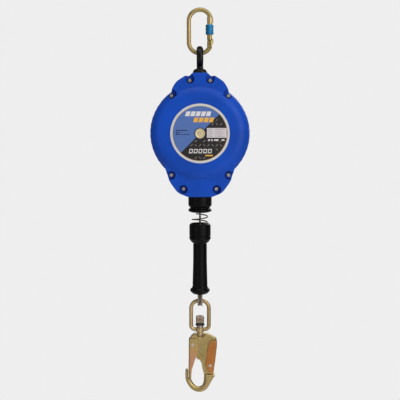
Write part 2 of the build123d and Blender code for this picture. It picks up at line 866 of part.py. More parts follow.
def make_loop():
    side_plane = Plane(origin=(0, 0, loop_z), x_dir=(0, 1, 0), z_dir=(1, 0, 0))
    wire = side_plane * drop_path(loop_cable_r, ferrule_low_z - 0.9)
    with BuildPart() as loop:
        with BuildSketch(Plane(origin=wire @ 0, z_dir=wire % 0)):
            Circle(cable_r)
        sweep(path=wire)
    finish(loop, "cable_loop")

    with BuildPart() as thimble:
        with BuildSketch(side_plane):
            add(drop(15.9, -630))
        extrude(amount=5.6, both=True)
        with BuildSketch(side_plane):
            add(drop(22, -618))
            add(drop(10.5, -632), mode=Mode.SUBTRACT)
        extrude(amount=2.6, both=True, mode=Mode.SUBTRACT)
        with BuildSketch(side_plane):
            add(drop(9.0, -634))
        extrude(amount=8, both=True, mode=Mode.SUBTRACT)
    finish(thimble, "thimble")

    with BuildPart() as ferrule:
        with BuildSketch(level(ferrule_low_z)):
            SlotOverall(13.4, 9.0, rotation=90)
        extrude(amount=ferrule_top_z - ferrule_low_z)
        chamfer(ferrule.edges().group_by(Axis.Z)[0] + ferrule.edges().group_by(Axis.Z)[-1], 0.7)
    finish(ferrule, "cable_ferrule")


# ---------------------------------------------------------------- swivel link of the hook

boss_top_z = -723.4
boss_low_z = -733.2
boss_r = 10.2
ball_r = 7.2                    # flange of the stud below the boss
ball_low_z = -744.4


def make_link():
    arm_z = (boss_top_z + boss_low_z) / 2
    with BuildPart() as link:
        with BuildLine() as path:
            FilletPolyline((0, arm_z), (-link_half, arm_z + 0.6), (-link_half, link_top_z),
                           (link_half, link_top_z), (link_half, arm_z + 0.6), (0.2, arm_z),
                           radius=[8.0, 17.5, 17.5, 8.0])
        wire = Plane.XZ * path.line
        with BuildSketch(Plane(origin=wire @ 0, z_dir=wire % 0)):
            Circle(link_r)
        sweep(path=wire)
        with BuildSketch(level(boss_low_z)):
            Circle(boss_r)
        extrude(amount=boss_top_z - boss_low_z)
        with BuildSketch(level(boss_low_z - 5)):
            Circle(stud_r + 0.08)
        extrude(amount=30, mode=Mode.SUBTRACT)
    finish(link, "hook_link")


def make_stud():
    nut_top_z = -696.6
    nut_low_z = -711.2
    nut_width = 18.8
    washer_top_z = -718.2
    with BuildPart() as stud:
        with BuildSketch(level(-762.0)):
            Circle(stud_r)
        extrude(amount=nut_top_z - 1.5 + 762.0)
        with BuildSketch(Plane.XZ):
            with BuildLine():
                Polyline((0, ball_low_z), (0, boss_low_z - 0.3), (ball_r - 1.2, boss_low_z - 0.3))
                ThreePointArc((ball_r - 1.2, boss_low_z - 0.3), (ball_r, boss_low_z - 4.5),
                              (stud_r, ball_low_z))
                Line((stud_r, ball_low_z), (0, ball_low_z))
            make_face()
        revolve(axis=VERTICAL)
    finish(stud, "hook_swivel_stud")
    with BuildPart() as nut:
        with BuildSketch(level(nut_low_z)):
            Rectangle(nut_width, nut_width)
        extrude(amount=nut_top_z - nut_low_z)
        chamfer(nut.edges().filter_by(VERTICAL), 2.6)
        chamfer(nut.faces().sort_by(VERTICAL)[-1].edges(), 1.8)
        with BuildSketch(level(nut_low_z)):
            Circle(stud_r)
        extrude(amount=nut_top_z - nut_low_z, mode=Mode.SUBTRACT)
        # dimple over the cross pin
        with BuildSketch(front(-nut_width / 2, -704.6)):
            Circle(3.2)
            Circle(1.9, mode=Mode.SUBTRACT)
        extrude(amount=-1.0, mode=Mode.SUBTRACT)
    finish(nut, "hook_nut")
    finish(turned([(stud_r, nut_low_z), (7.8, nut_low_z), (8.2, nut_low_z - 1.6), (10.8, washer_top_z + 2.0),
                   (10.8, washer_top_z), (stud_r, washer_top_z)]), "indicator_collar")
    finish(turned([(stud_r, washer_top_z), (7.6, washer_top_z), (7.6, boss_top_z + 0.3),
                   (stud_r, boss_top_z + 0.3)]), "hook_washer")


# ---------------------------------------------------------------- snap hook


def make_hook_plate():
    """The flat upper part of the hook, between the gate's and the lever's cheeks."""
    throat_top = (-6.5, -798.5)
    throat_low = (10.2, -841.0)
    with BuildPart() as plate:
        with BuildSketch(front(hook_half)):
            with BuildLine():
                Polyline((-13, hook_top_z), (-21.2, -745), (-23.6, -751), (-23.6, -760.5), (-20.5, -768.8),
                         (-13.2, -783), throat_top)
                Spline(throat_top, (1.4, -803.4), (5.4, -819), throat_low, tangents=((1, -0.1), (0.2, -1)))
                Polyline(throat_low, (27, -841), (29.5, -834), (29.5, -806), (27.8, -792), (27.8, -752.5),
                         (38.6, -751.2), (36.2, -748), (16.5, hook_top_z), (-13, hook_top_z))
            make_face()
        extrude(amount=2 * hook_half)
        faces = plate.faces().sort_by(Axis.Y)
        chamfer(faces[0].edges() + faces[-1].edges(), 0.7)
        # thinner web between the panel and the throat
        for y in (2 * hook_half, -hook_web_half):
            with BuildSketch(front(y)):
                with BuildLine():
                    FilletPolyline((-4.0, -764), (-4.0, -775.5), (11.2, -796), (14.0, -812), (24, -837),
                                   (24, -850), (-40, -850), (-40, -764), radius=1.5, close=True)
                make_face()
            extrude(amount=2 * hook_half - hook_web_half, mode=Mode.SUBTRACT)
    return plate


def make_hook_bend():
    """The round bend below the throat, which swells into the ledge that holds the lever."""
    with BuildPart() as bend:
        with BuildLine() as path:
            Spline((-27.7, -845.0), (-23.5, -856.5), (-15.3, -866.8), (-3.0, -871.6), (9.6, -867.2),
                   (16.0, -856.0), (21.5, -838.0), tangents=((0.1, -1), (0.3, 1)))
        wire = Plane.XZ * path.line
        for share, radius in ((0, 6.2), (0.25, 6.3), (0.5, 6.6), (0.75, 7.8), (1, 12.0)):
            with BuildSketch(Plane(origin=wire @ share, z_dir=wire % share)):
                Circle(radius)
        sweep(path=wire, multisection=True)
        with BuildSketch(front(hook_half + 1.6)):
            with Locations((0, -850)):
                Rectangle(100, 80)
        extrude(amount=2 * hook_half + 3.2, mode=Mode.INTERSECT)
    return bend


def slab(points, half, edge):
    """A thick plate across Y with chamfered faces."""
    with BuildPart() as piece:
        with BuildSketch(front(half)):
            with BuildLine():
                Polyline(*points, close=True)
            make_face()
        extrude(amount=2 * half)
        faces = piece.faces().sort_by(Axis.Y)
        chamfer(faces[0].edges() + faces[-1].edges(), edge)
    return piece


def make_hook_body():
    ledge_z = -835.4
    ledge = slab([(11.0, ledge_z - 4.6), (13.0, ledge_z - 1.2), (15.6, ledge_z), (34.4, ledge_z),
                  (34.8, ledge_z - 2.4), (32.8, ledge_z - 4.6)], 10.2, 1.2)
    nose = slab([(-28.0, -848.5), (-28.0, -828), (-28.8, -824.4), (-31.2, -823), (-33.6, -824.6),
                 (-34.4, -829), (-34.0, -846)], 6.2, 1.6)
    pocket_r = 10.8
    rim_r = 13.8
    with BuildPart() as body:
        for piece in (make_hook_plate(), make_hook_bend(), ledge, nose):
            add(piece.part)
        # the bend's top is cut level with the ledge
        with BuildSketch(level(ledge_z)):
            with Locations((22, 0)):
                Rectangle(30, 30)
            with Locations((22, 0)):
                Rectangle(30, 2 * hook_web_half, mode=Mode.SUBTRACT)
        extrude(amount=12, mode=Mode.SUBTRACT)
        # round pockets for the stud's flange, with a bevelled rim
        for side in (-1, 1):
            with BuildSketch(front(side * hook_half, hook_top_z + 2.4)):
                Circle(pocket_r)
            extrude(amount=side * 4.6, mode=Mode.SUBTRACT)
            with BuildSketch(front(side * hook_half, hook_top_z + 2.4)):
                Circle(rim_r)
            extrude(amount=side * (rim_r - pocket_r), taper=45, mode=Mode.SUBTRACT)
        for (x, z) in (hook_pivot, lever_pivot):
            with BuildSketch(front(20)):
                with Locations((x, z)):
                    Circle(hook_pin_r)
            extrude(amount=40, mode=Mode.SUBTRACT)
        with BuildSketch(level(-762)):
            Circle(stud_r)
        extrude(amount=40, mode=Mode.SUBTRACT)
        with BuildSketch(level(ball_low_z - 0.6)):
            Circle(ball_r + 0.5)
        extrude(amount=40, mode=Mode.SUBTRACT)
    return body


def folded_sheet(outline, web, clear, pivot):
    """A folded sheet: two cheeks outside the hook's body and a web that joins them.

    web holds the web's side, -1 for left or 1 for right, and the least distance of its folds from x = 0."""
    outer = cheek_in + sheet
    fold_r = 3.4
    web_side, web_from = web
    with BuildPart() as piece:
        with BuildSketch(front(outer)):
            with BuildLine():
                Polyline(*outline, close=True)
            make_face()
        extrude(amount=2 * outer)
        rims = piece.edges().group_by(Axis.Y)
        folds = [e for e in rims[0] + rims[-1] if web_side * (e @ 0.5).X > web_from]
        fillet(folds, fold_r)
        with BuildSketch(front(cheek_in)):
            with BuildLine():
                Polyline(*clear, close=True)
            make_face()
        extrude(amount=2 * cheek_in, mode=Mode.SUBTRACT)
        with BuildSketch(front(20)):
            with Locations(pivot):
                Circle(hook_pin_r + 0.06)
        extrude(amount=40, mode=Mode.SUBTRACT)
    return piece


def make_hook_gate():
    outline = [(-26.0, -751.5), (-22.5, -748.5), (-8, -749.0), (-4.6, -752.5), (-3.8, -757), (-4.0, -775.4),
               (-8.9, -793), (-12.4, -801), (-15.4, -811), (-19.0, -822), (-20.8, -843.2), (-26.2, -844.2),
               (-27.2, -832), (-26.4, -800)]
    clear = [(sheet - 26.0, -740), (10, -740), (10, -850), (sheet - 26.2, -850), (sheet - 27.2, -832),
             (sheet - 26.4, -800)]
    return folded_sheet(outline, (-1, 26), clear, hook_pivot)


def make_hook_lever():
    outline = [(15.0, -799.8), (18.2, -769.9), (21.0, -758.5), (23.4, -754), (29, -752.2), (36.4, -752.4),
               (39.6, -756.5), (39.2, -768), (37.0, -788.5), (34.8, -807.2), (32.8, -821), (31.2, -833),
               (23, -833), (14.0, -813)]
    clear = [(5, -740), (38, -740), (38, -756), (37.6, -768), (35.4, -788.5), (33.2, -807.2), (31.2, -821),
             (29.6, -845), (5, -845)]
    return folded_sheet(outline, (1, 33), clear, lever_pivot)


def make_hook():
    finish(make_hook_body(), "hook_body")
    finish(make_hook_gate(), "hook_gate")
    finish(make_hook_lever(), "hook_lever")
    length = cheek_in + sheet + 0.8
    for name, (x, z) in (("hook_gate_pin", hook_pivot), ("hook_lever_pin", lever_pivot)):
        with BuildPart() as pin:
            with BuildSketch(front(length)):
                with Locations((x, z)):
                    Circle(hook_pin_r)
            extrude(amount=2 * length)
            for y in (length, -length + 0.7):
                with BuildSketch(front(y)):
                    with Locations((x, z)):
                        Circle(hook_pin_r + 1.2)
                extrude(amount=0.7)
        finish(pin, name)


make_carabiner()
make_swivel()
make_housing()
make_frame()
make_drum()
make_spring_case()
make_recoil_spring()
make_cable_run()
make_brake()
make_pawls()
make_outlet()
make_buffer_spring()
make_handle()
make_loop()
make_link()
make_stud()
make_hook()
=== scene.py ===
"""The look of a self retracting lifeline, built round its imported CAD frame.

Units are metres. The frame hangs along Z, with +X to the right and the front cover towards -Y.
The wire rope, locking sleeve, spring, labels and hub cap are made here. The other pieces keep their
CAD shape and get a procedural finish.
"""

import json
from math import atan, ceil, cos, pi, radians, sin, sqrt, tan

import bmesh
import bpy
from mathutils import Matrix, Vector


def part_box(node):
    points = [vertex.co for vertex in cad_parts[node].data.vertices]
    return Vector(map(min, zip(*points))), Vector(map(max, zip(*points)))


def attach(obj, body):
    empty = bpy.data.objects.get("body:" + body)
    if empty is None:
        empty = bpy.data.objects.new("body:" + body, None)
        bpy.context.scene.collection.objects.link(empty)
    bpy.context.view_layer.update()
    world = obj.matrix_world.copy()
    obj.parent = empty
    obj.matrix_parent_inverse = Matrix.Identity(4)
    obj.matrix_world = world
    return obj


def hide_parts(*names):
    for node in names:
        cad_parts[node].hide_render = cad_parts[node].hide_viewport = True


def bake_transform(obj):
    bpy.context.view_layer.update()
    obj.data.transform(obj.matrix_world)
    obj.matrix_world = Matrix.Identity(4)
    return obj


MM = 0.001

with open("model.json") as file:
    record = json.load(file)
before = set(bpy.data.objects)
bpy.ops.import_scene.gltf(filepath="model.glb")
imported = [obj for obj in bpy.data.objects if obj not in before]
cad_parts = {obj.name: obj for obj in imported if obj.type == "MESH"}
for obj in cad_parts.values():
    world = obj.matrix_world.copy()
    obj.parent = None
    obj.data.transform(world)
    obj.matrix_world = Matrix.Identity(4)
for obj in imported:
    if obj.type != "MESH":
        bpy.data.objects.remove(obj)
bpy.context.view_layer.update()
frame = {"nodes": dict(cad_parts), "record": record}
scene = bpy.context.scene


def srgb(red, green, blue):
    """A linear colour from 8 bit sRGB values."""
    def linear(value):
        value = value / 255
        return value / 12.92 if value <= 0.04045 else ((value + 0.055) / 1.055) ** 2.4
    return (linear(red), linear(green), linear(blue), 1.0)


def tinted(colour, factor, most=1.0):
    """A colour made lighter or darker by a factor."""
    return tuple(min(factor * c, most) for c in colour[:3]) + (1.0,)


# ---------------------------------------------------------------- camera

CAMERA_AWAY = 1.940             # in front of the joint plane
CAMERA_Z = -0.2415
AIM_Z = -0.4255
VIEW_HALF = 0.460               # half the view's width, at the aim point


def make_camera():
    data = bpy.data.cameras.new("camera")
    camera = bpy.data.objects.new("camera", data)
    scene.collection.objects.link(camera)
    camera.location = (0, -CAMERA_AWAY, CAMERA_Z)
    sight = Vector((0, 0, AIM_Z)) - camera.location
    camera.rotation_mode = "QUATERNION"
    camera.rotation_quaternion = sight.to_track_quat("-Z", "Y")
    data.sensor_width = 36
    data.lens = data.sensor_width / 2 * sight.length / VIEW_HALF
    data.clip_start = 0.05
    data.clip_end = 50
    scene.camera = camera


make_camera()

# ---------------------------------------------------------------- mesh helpers


def build(name, verts, faces, looks, body, smooth=True, material_of=None):
    """A mesh piece that rides on a body and takes its finish from a material slot."""
    mesh = bpy.data.meshes.new(name)
    mesh.from_pydata([tuple(v) for v in verts], [], faces)
    mesh.update()
    for look in looks:
        mesh.materials.append(look)
    if material_of:
        mesh.polygons.foreach_set("material_index", material_of)
    mesh.polygons.foreach_set("use_smooth", [smooth] * len(mesh.polygons))
    piece = bpy.data.objects.new(name, mesh)
    scene.collection.objects.link(piece)
    if body:
        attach(piece, body)
    return piece


def smooth_line(route):
    """Points along the smooth line (a NURBS spline) that a route's points control."""
    curve = bpy.data.curves.new("route", "CURVE")
    curve.dimensions = "3D"
    spline = curve.splines.new("NURBS")
    spline.points.add(len(route) - 1)
    for point, co in zip(spline.points, route):
        point.co = (*co, 1)
    spline.order_u = 3
    spline.use_endpoint_u = True
    spline.resolution_u = 24
    holder = bpy.data.objects.new("route", curve)
    mesh = bpy.data.meshes.new_from_object(holder)
    line = [v.co.copy() for v in mesh.vertices]
    bpy.data.objects.remove(holder)
    bpy.data.curves.remove(curve)
    bpy.data.meshes.remove(mesh)
    return line


def even(line, step):
    """Points on a line, about a step apart, and the distance of each from its start."""
    reach = [0.0]
    for a, b in zip(line, line[1:]):
        reach.append(reach[-1] + (b - a).length)
    count = ceil(reach[-1] / step)
    points, distances, k = [], [], 0
    for i in range(count + 1):
        distance = reach[-1] * i / count
        while k < len(line) - 2 and reach[k + 1] < distance:
            k += 1
        share = (distance - reach[k]) / max(reach[k + 1] - reach[k], 1e-9)
        points.append(line[k].lerp(line[k + 1], min(share, 1.0)))
        distances.append(distance)
    return points, distances


def sides_along(points, first_side):
    """Two directions across a line at each point, carried along it without twist."""
    tangents = []
    for i in range(len(points)):
        ahead = points[min(i + 1, len(points) - 1)] - points[max(i - 1, 0)]
        tangents.append(ahead.normalized())
    across = [(first_side - tangents[0] * first_side.dot(tangents[0])).normalized()]
    for before, after in zip(tangents, tangents[1:]):
        side = before.rotation_difference(after) @ across[-1]
        across.append((side - after * side.dot(after)).normalized())
    return across, [t.cross(a) for t, a in zip(tangents, across)]


def tube_into(verts, faces, points, radius, sides, first_side=Vector((0, 1, 0))):
    """Add a tube along points, with closed ends."""
    first = len(verts)
    across, other = sides_along(points, first_side)
    for point, a, b in zip(points, across, other):
        for k in range(sides):
            angle = 2 * pi * k / sides
            verts.append(point + (a * cos(angle) + b * sin(angle)) * radius)
    for i in range(len(points) - 1):
        for k in range(sides):
            here, right = first + i * sides + k, first + i * sides + (k + 1) % sides
            faces.append((here, right, right + sides, here + sides))
    faces.append([first + k for k in reversed(range(sides))])
    last = first + (len(points) - 1) * sides
    faces.append([last + k for k in range(sides)])


def turned(profile, segments, place, closed=False):
    """A turned surface: place maps a profile's row and an angle. A row of radius 0 is one point."""
    verts, faces, rings = [], [], []
    for row in profile:
        count = segments if row[0] else 1
        rings.append([len(verts) + k % count for k in range(segments)])
        verts += [place(row, 2 * pi * k / segments) for k in range(count)]
    for low, high in zip(rings, rings[1:] + rings[:1] if closed else rings[1:]):
        for k in range(segments):
            face = (low[k], low[(k + 1) % segments], high[(k + 1) % segments], high[k])
            faces.append(tuple(dict.fromkeys(face)))
    return verts, faces


# ---------------------------------------------------------------- procedural finishes


class Finish:
    """A procedural material: one Principled shader and the textures that feed it."""

    def __init__(self, name, colour, metallic=0.0, roughness=0.5, **constants):
        self.material = bpy.data.materials.new(name)
        self.material.use_nodes = True
        self.tree = self.material.node_tree
        self.shader = self.tree.nodes["Principled BSDF"]
        self.shader.inputs["Base Color"].default_value = colour
        self.shader.inputs["Metallic"].default_value = metallic
        self.shader.inputs["Roughness"].default_value = roughness
        for key, value in constants.items():
            self.shader.inputs[key.replace("_", " ")].default_value = value
        self.material.diffuse_color = colour
        self.place = self.node("ShaderNodeTexCoord").outputs["Object"]
        self.normal = None

    def node(self, kind, **inputs):
        made = self.tree.nodes.new(kind)
        for key, value in inputs.items():
            self.feed(made.inputs[key.replace("_", " ")], value)
        return made

    def feed(self, socket, value):
        if isinstance(value, bpy.types.NodeSocket):
            self.tree.links.new(value, socket)
        else:
            socket.default_value = value

    def stretched(self, x, y, z):
        """The place, scaled unevenly, so that a texture is drawn out along an axis."""
        scaled = self.node("ShaderNodeMapping", Vector=self.place, Scale=(x, y, z))
        return scaled.outputs["Vector"]

    def noise(self, scale, detail=2.0, roughness=0.5, place=None):
        made = self.node("ShaderNodeTexNoise", Vector=place or self.place, Scale=scale,
                         Detail=detail, Roughness=roughness)
        return made.outputs["Fac"]

    def span(self, value, low, high, to_low=0.0, to_high=1.0):
        """A value mapped from one range to another, and kept inside it."""
        made = self.node("ShaderNodeMapRange")
        for socket, what in zip(made.inputs, (value, low, high, to_low, to_high)):
            self.feed(socket, what)
        return made.outputs["Result"]

    def maths(self, operation, a, b=0.0):
        made = self.tree.nodes.new("ShaderNodeMath")
        made.operation = operation
        self.feed(made.inputs[0], a)
        self.feed(made.inputs[1], b)
        return made.outputs[0]

    def mix(self, share, a, b):
        """A colour between two others."""
        made = self.tree.nodes.new("ShaderNodeMix")
        made.data_type = "RGBA"
        colours = [s for s in made.inputs if s.type == "RGBA"]
        self.feed(made.inputs["Factor"], share)
        self.feed(colours[0], a)
        self.feed(colours[1], b)
        return [s for s in made.outputs if s.type == "RGBA"][0]

    def ramp(self, value, *stops):
        """A colour from a scale of (position, colour) stops."""
        made = self.node("ShaderNodeValToRGB", Fac=value)
        elements = made.color_ramp.elements
        for position, _ in stops[2:]:
            elements.new(position)
        for element, (position, colour) in zip(elements, stops):
            element.position = position
            element.color = colour
        return made.outputs["Color"]

    def bump(self, height, strength, depth):
        """Lay one more bump over the surface: depth is in metres."""
        made = self.node("ShaderNodeBump", Height=height, Strength=strength, Distance=depth)
        if self.normal:
            self.feed(made.inputs["Normal"], self.normal)
        self.normal = made.outputs["Normal"]

    def edges(self, radius):
        """Round the look of sharp edges, and return how much a point is on one."""
        soft = self.node("ShaderNodeBevel", Radius=radius)
        soft.samples = 4
        if self.normal is None:
            self.normal = soft.outputs["Normal"]
        geometry = self.node("ShaderNodeNewGeometry")
        turn = self.tree.nodes.new("ShaderNodeVectorMath")
        turn.operation = "DOT_PRODUCT"
        self.feed(turn.inputs[0], soft.outputs["Normal"])
        self.feed(turn.inputs[1], geometry.outputs["Normal"])
        return self.span(turn.outputs["Value"], 0.985, 0.80)

    def crease_shading(self, distance):
        """How deep a point lies in a crease: painted shade, an ambient occlusion share that darkens the
        colour there.
        """
        # painted shade: ambient occlusion over this distance marks creases and recesses to be darkened
        near = self.node("ShaderNodeAmbientOcclusion", Distance=distance)
        near.samples = 8
        return self.span(near.outputs["AO"], 0.80, 0.25)

    def set(self, **sockets):
        for key, value in sockets.items():
            self.feed(self.shader.inputs[key.replace("_", " ")], value)

    def done(self):
        if self.normal:
            self.feed(self.shader.inputs["Normal"], self.normal)
        return self.material


def moulded(name, colour, worn, roughness, grain=900.0, grain_strength=0.12, **constants):
    """Moulded plastic or rubber: fine grain, slight blotches, and scuffed edges."""
    f = Finish(name, colour, roughness=roughness, **constants)
    edge = f.edges(0.7 * MM)
    blotch = f.noise(14.0, 3.0)
    base = f.mix(f.span(blotch, 0.3, 0.7), tinted(colour, 0.86), tinted(colour, 1.12))
    patchy = f.span(f.noise(160.0, 4.0, 0.65), 0.46, 0.62)
    base = f.mix(f.maths("MULTIPLY", f.maths("MULTIPLY", edge, patchy), 0.5), base, worn)
    scratch = f.noise(90.0, 2.0, 0.6, f.stretched(1.0, 1.0, 14.0))
    scuffed = f.span(scratch, 0.70, 0.80, 0.0, 0.10)
    base = f.mix(scuffed, base, worn)
    # Painted shade: the colour darkens towards a third of itself where ambient occlusion finds a
    # crease.
    painted_shade = f.maths("MULTIPLY", f.crease_shading(5 * MM), 0.6)
    f.set(Base_Color=f.mix(painted_shade, base, tinted(colour, 0.35)))
    cloudy = f.span(f.noise(60.0, 3.0), 0.3, 0.7, roughness - 0.05, roughness + 0.05)
    f.set(Roughness=f.maths("ADD", cloudy, f.maths("MULTIPLY", scuffed, 0.8)))
    f.bump(f.noise(grain, 2.0), grain_strength, 0.2 * MM)
    f.bump(f.noise(45.0, 1.0), 0.10, 0.6 * MM)
    return f.done()


def plated(name, stops, roughness, edge_colour, cloud=22.0, forged=0.0, metallic=1.0):
    """Zinc plate: a cloudy colour from a scale of stops, fine pits, and rubbed edges."""
    f = Finish(name, stops[len(stops) // 2][1], metallic=metallic, roughness=roughness)
    edge = f.edges(0.6 * MM)
    base = f.ramp(f.noise(cloud, 4.0, 0.55), *stops)
    speck = f.span(f.noise(1400.0, 2.0), 0.35, 0.65, 0.90, 1.06)
    shade = f.tree.nodes.new("ShaderNodeVectorMath")
    shade.operation = "SCALE"
    f.feed(shade.inputs[0], base)
    f.feed(shade.inputs["Scale"], speck)
    worn = f.maths("MULTIPLY", edge, f.span(f.noise(260.0, 3.0), 0.40, 0.58))
    base = f.mix(f.maths("MULTIPLY", worn, 0.75), shade.outputs["Vector"], edge_colour)
    # Painted shade: the colour darkens towards dark brown, srgb(58, 44, 26), where ambient occlusion
    # finds a crease.
    painted_shade = f.maths("MULTIPLY", f.crease_shading(2.5 * MM), 0.8)
    f.set(Base_Color=f.mix(painted_shade, base, srgb(58, 44, 26)))
    f.set(Roughness=f.span(f.noise(70.0, 4.0, 0.6), 0.3, 0.7, roughness - 0.07, roughness + 0.09))
    f.bump(f.noise(1100.0, 3.0), 0.15, 0.08 * MM)
    if forged:
        f.bump(f.noise(110.0, 3.0), forged, 0.5 * MM)
    return f.done()


def machined(name, colour, roughness, brushed=(1.0, 1.0, 1.0)):
    """Plain machine steel or alloy: brushed streaks, light stains and bright edges."""
    f = Finish(name, colour, metallic=1.0, roughness=roughness)
    edge = f.edges(0.4 * MM)
    streak = f.noise(500.0, 2.0, 0.6, f.stretched(*brushed))
    stain = f.noise(35.0, 4.0, 0.6)
    base = f.mix(f.span(stain, 0.35, 0.7), colour, tinted(colour, 0.72))
    f.set(Base_Color=f.mix(f.maths("MULTIPLY", edge, 0.7), base, tinted(colour, 1.25, 0.95)))
    f.set(Roughness=f.span(streak, 0.3, 0.7, roughness - 0.06, roughness + 0.10))
    f.bump(streak, 0.12, 0.05 * MM)
    return f.done()


def coated(name, colour, roughness, grain, **constants):
    """Black coated forging: fine pimpled coat over a slightly uneven forging."""
    f = Finish(name, colour, roughness=roughness, **constants)
    edge = f.edges(0.5 * MM)
    rubbed = f.maths("MULTIPLY", edge, f.span(f.noise(220.0, 3.0), 0.5, 0.65))
    tone = f.mix(f.span(f.noise(40.0, 3.0), 0.35, 0.7), colour, tinted(colour, 1.8))
    f.set(Base_Color=f.mix(f.maths("MULTIPLY", rubbed, 0.35), tone, srgb(92, 92, 94)))
    f.set(Roughness=f.span(f.noise(90.0, 3.0), 0.3, 0.7, roughness - 0.06, roughness + 0.08))
    f.bump(f.noise(grain, 2.0), 0.2, 0.08 * MM)
    f.bump(f.noise(120.0, 2.0), 0.12, 0.4 * MM)
    return f.done()


def printed(name, colour, roughness=0.28, metallic=0.0):
    """Ink on glossy film: faint print grain and small marks of handling."""
    f = Finish(name, colour, metallic=metallic, roughness=roughness)
    f.set(Base_Color=f.mix(f.span(f.noise(1800.0, 1.0), 0.35, 0.65), tinted(colour, 0.90), colour))
    f.set(Roughness=f.span(f.noise(55.0, 4.0, 0.6), 0.35, 0.7, roughness, roughness + 0.12))
    f.bump(f.noise(30.0, 2.0), 0.06, 0.3 * MM)
    return f.done()


def wire_finish(name, colour, roughness):
    """Drawn wire: fine lengthwise wires, with grease-dark hollows."""
    f = Finish(name, colour, metallic=1.0, roughness=roughness)
    fine = f.noise(2600.0, 1.0, 0.5, f.stretched(1.0, 1.0, 0.25))
    dark = tinted(colour, 0.30)
    grime = f.span(f.noise(240.0, 3.0), 0.42, 0.70, 0.0, 0.55)
    f.set(Base_Color=f.mix(grime, f.mix(f.span(fine, 0.40, 0.60), dark, colour), dark))
    f.set(Roughness=f.span(fine, 0.3, 0.7, roughness - 0.05, roughness + 0.15))
    f.bump(fine, 0.4, 0.1 * MM)
    return f.done()


def tempered(name):
    """The hook's sheet parts: a gate that runs from gold to rose and olive, and a copper lever."""
    f = Finish(name, srgb(172, 120, 78), metallic=0.78, roughness=0.36)
    edge = f.edges(0.5 * MM)
    place = f.node("ShaderNodeSeparateXYZ", Vector=f.place)
    gate_low, gate_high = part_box("hook_gate")
    lever_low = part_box("hook_lever")[0]
    rise = f.span(place.outputs["Z"], gate_low.z, gate_high.z)
    wobble = f.span(f.noise(26.0, 3.0, 0.55), 0.25, 0.75, -0.16, 0.16)
    along = f.maths("ADD", rise, wobble)
    gate = f.ramp(along, (0.02, srgb(184, 150, 92)), (0.22, srgb(204, 152, 108)),
                  (0.46, srgb(206, 148, 118)), (0.68, srgb(198, 156, 102)), (0.90, srgb(184, 160, 102)))
    lever = f.ramp(along, (0.10, srgb(192, 140, 86)), (0.45, srgb(184, 116, 58)),
                   (0.80, srgb(180, 114, 58)), (0.98, srgb(170, 130, 76)))
    is_lever = f.maths("GREATER_THAN", place.outputs["X"], (gate_high.x + lever_low.x) / 2)
    base = f.mix(is_lever, gate, lever)
    worn = f.maths("MULTIPLY", edge, f.span(f.noise(240.0, 3.0), 0.4, 0.6))
    base = f.mix(f.maths("MULTIPLY", worn, 0.7), base, srgb(232, 206, 160))
    # Painted shade: the colour darkens towards dark brown, srgb(58, 40, 24), where ambient occlusion
    # finds a crease.
    painted_shade = f.maths("MULTIPLY", f.crease_shading(2.5 * MM), 0.8)
    f.set(Base_Color=f.mix(painted_shade, base, srgb(58, 40, 24)))
    f.set(Roughness=f.span(f.noise(80.0, 4.0, 0.6), 0.3, 0.7, 0.27, 0.40))
    f.bump(f.noise(900.0, 3.0), 0.15, 0.06 * MM)
    f.bump(f.noise(60.0, 2.0), 0.12, 0.5 * MM)
    return f.done()


# scales of plating colours, as (position, colour) stops
GOLD = ((0.30, srgb(154, 136, 82)), (0.45, srgb(172, 150, 94)), (0.58, srgb(188, 164, 112)),
        (0.72, srgb(182, 148, 104)))
PALE_GOLD = ((0.30, srgb(160, 140, 92)), (0.45, srgb(186, 160, 110)), (0.58, srgb(202, 176, 130)),
             (0.72, srgb(194, 158, 118)))
BLUE_ANODISED = ((0.3, srgb(22, 104, 158)), (0.7, srgb(46, 136, 184)))
GREY_ZINC = ((0.3, srgb(132, 112, 98)), (0.7, srgb(172, 152, 136)))
CREAM = ((0.35, srgb(206, 188, 144)), (0.65, srgb(226, 210, 168)))

looks = {
    "blue_plastic": moulded("blue_plastic", srgb(7, 72, 182), srgb(84, 130, 206), 0.45,
                            Specular_IOR_Level=0.22),
    "black_plastic": moulded("black_plastic", srgb(7, 6, 7), srgb(48, 47, 48), 0.33, 1300.0, 0.2,
                             Specular_IOR_Level=0.11),
    "black_rubber": moulded("black_rubber", srgb(7, 6, 7), srgb(44, 43, 44), 0.40, 1500.0, 0.25,
                            Specular_IOR_Level=0.12),
    "zinc_gold": plated("zinc_gold", GOLD, 0.32, srgb(226, 208, 160), cloud=15.0, forged=0.05,
                        metallic=0.78),
    "zinc_link": plated("zinc_link", PALE_GOLD, 0.34, srgb(232, 216, 176), cloud=15.0, forged=0.06,
                        metallic=0.78),
    "zinc_copper": tempered("zinc_copper"),
    "blue_anodised": plated("blue_anodised", BLUE_ANODISED, 0.28, srgb(150, 200, 230), metallic=0.75),
    "black_steel": coated("black_steel", srgb(8, 7, 8), 0.30, 900.0, Specular_IOR_Level=0.25),
    "dark_steel": coated("dark_steel", srgb(38, 32, 33), 0.42, 1200.0, Specular_IOR_Level=0.4),
    "bright_steel": machined("bright_steel", srgb(212, 202, 190), 0.32),
    "grey_steel": plated("grey_steel", GREY_ZINC, 0.36, srgb(206, 196, 180), metallic=0.75),
    "frame_steel": machined("frame_steel", srgb(188, 188, 190), 0.38, (1.0, 1.0, 9.0)),
    "drum_alloy": machined("drum_alloy", srgb(196, 198, 200), 0.45),
    "bronze": machined("bronze", srgb(196, 154, 92), 0.42),
    "spring_steel": machined("spring_steel", srgb(104, 90, 78), 0.36),
    "lining": moulded("lining", srgb(84, 74, 66), srgb(120, 108, 96), 0.85, 700.0, 0.6),
    "cable": wire_finish("cable", srgb(158, 156, 152), 0.34),
    "cap_gold": plated("cap_gold", CREAM, 0.52, srgb(240, 232, 208), cloud=60.0, metallic=0.35),
    "label": printed("label", srgb(226, 226, 228)),
}


